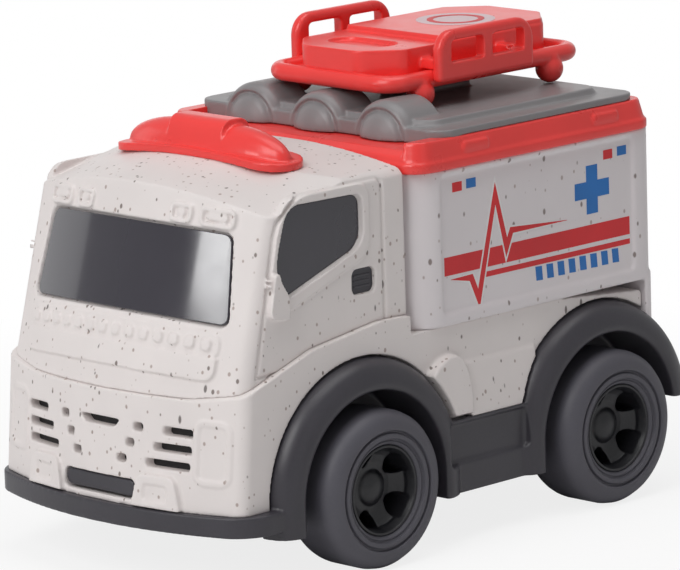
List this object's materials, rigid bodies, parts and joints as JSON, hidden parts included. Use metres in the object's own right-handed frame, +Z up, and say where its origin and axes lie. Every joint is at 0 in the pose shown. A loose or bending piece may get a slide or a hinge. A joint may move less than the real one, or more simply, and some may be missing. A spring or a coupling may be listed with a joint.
{
  "type": "toy ambulance",
  "caption": "Toy ambulance with a bowed white cab, a white box with a red roof rim, dark fenders, roof lamps, a lift-off red stretcher and a friction motor on the rear axle.",
  "frame": {"origin": "on the ground, under the middle of the bounding box", "axes": "+X forward, +Y to the vehicle's left, +Z up"},
  "size_m": [0.146, 0.09, 0.1102],
  "materials": {
    "speckled_white": "warm white moulded plastic with fine brown straw specks",
    "box_white": "cool white moulded plastic, satin",
    "red_plastic": "red moulded plastic, satin gloss",
    "roof_grey": "mid grey moulded plastic",
    "dark_plastic": "dark grey moulded plastic, slightly glossy",
    "tyre_plastic": "dark grey soft plastic",
    "hub_plastic": "near-black glossy plastic",
    "window_plastic": "dark grey glossy plastic panes, not clear",
    "steel": "plain turned steel",
    "ivory_plastic": "natural ivory gear plastic"
  },
  "bodies": {
    "body": {"chassis": "dark_plastic", "lower_body": "speckled_white", "cab_shell": "speckled_white", "windscreen": "window_plastic", "left_side_window": "window_plastic", "right_side_window": "window_plastic", "light_bar": "red_plastic", "box_shell": "box_white", "roof_rim": "red_plastic", "roof_plate": "roof_grey", "front_axle_clamp": "dark_plastic", "motor_case_left": "ivory_plastic", "motor_case_right": "ivory_plastic", "chassis_screws": "steel", "clamp_screws": "steel", "motor_screws": "steel", "cab_screws": "steel", "box_screws": "steel"},
    "front_axle_set": {"front_axle": "steel", "front_left_tyre": "tyre_plastic", "front_right_tyre": "tyre_plastic", "front_left_hub": "hub_plastic", "front_right_hub": "hub_plastic"},
    "rear_axle_set": {"rear_axle": "steel", "rear_left_tyre": "tyre_plastic", "rear_right_tyre": "tyre_plastic", "rear_left_hub": "hub_plastic", "rear_right_hub": "hub_plastic", "axle_gear": "ivory_plastic"},
    "cluster_set": {"cluster_gear": "ivory_plastic"},
    "flywheel_set": {"flywheel": "steel", "flywheel_pinion": "ivory_plastic"},
    "stretcher": {"stretcher_frame": "red_plastic", "stretcher_bed": "red_plastic"}
  },
  "joints": [
    {"name": "front_axle_spin", "type": "hinge", "parent": "body", "child": "front_axle_set", "pos_m": [0.0275, 0, 0.0175], "axis": [0, 1, 0], "continuous": true},
    {"name": "rear_axle_spin", "type": "hinge", "parent": "body", "child": "rear_axle_set", "pos_m": [-0.0475, 0, 0.0175], "axis": [0, 1, 0], "continuous": true},
    {"name": "cluster_gear_spin", "type": "hinge", "parent": "body", "child": "cluster_set", "pos_m": [-0.03931, 0, 0.02324], "axis": [0, 1, 0], "continuous": true},
    {"name": "flywheel_spin", "type": "hinge", "parent": "body", "child": "flywheel_set", "pos_m": [-0.02946, 0, 0.02497], "axis": [0, 1, 0], "continuous": true},
    {"name": "stretcher_lift", "type": "slide", "parent": "body", "child": "stretcher", "axis": [0, 0, 1], "range_m": [0, 0.03]}
  ],
  "couplings": [
    {"joint": "cluster_gear_spin", "follows": "rear_axle_spin", "ratio": -3},
    {"joint": "flywheel_spin", "follows": "rear_axle_spin", "ratio": 9}
  ]
}
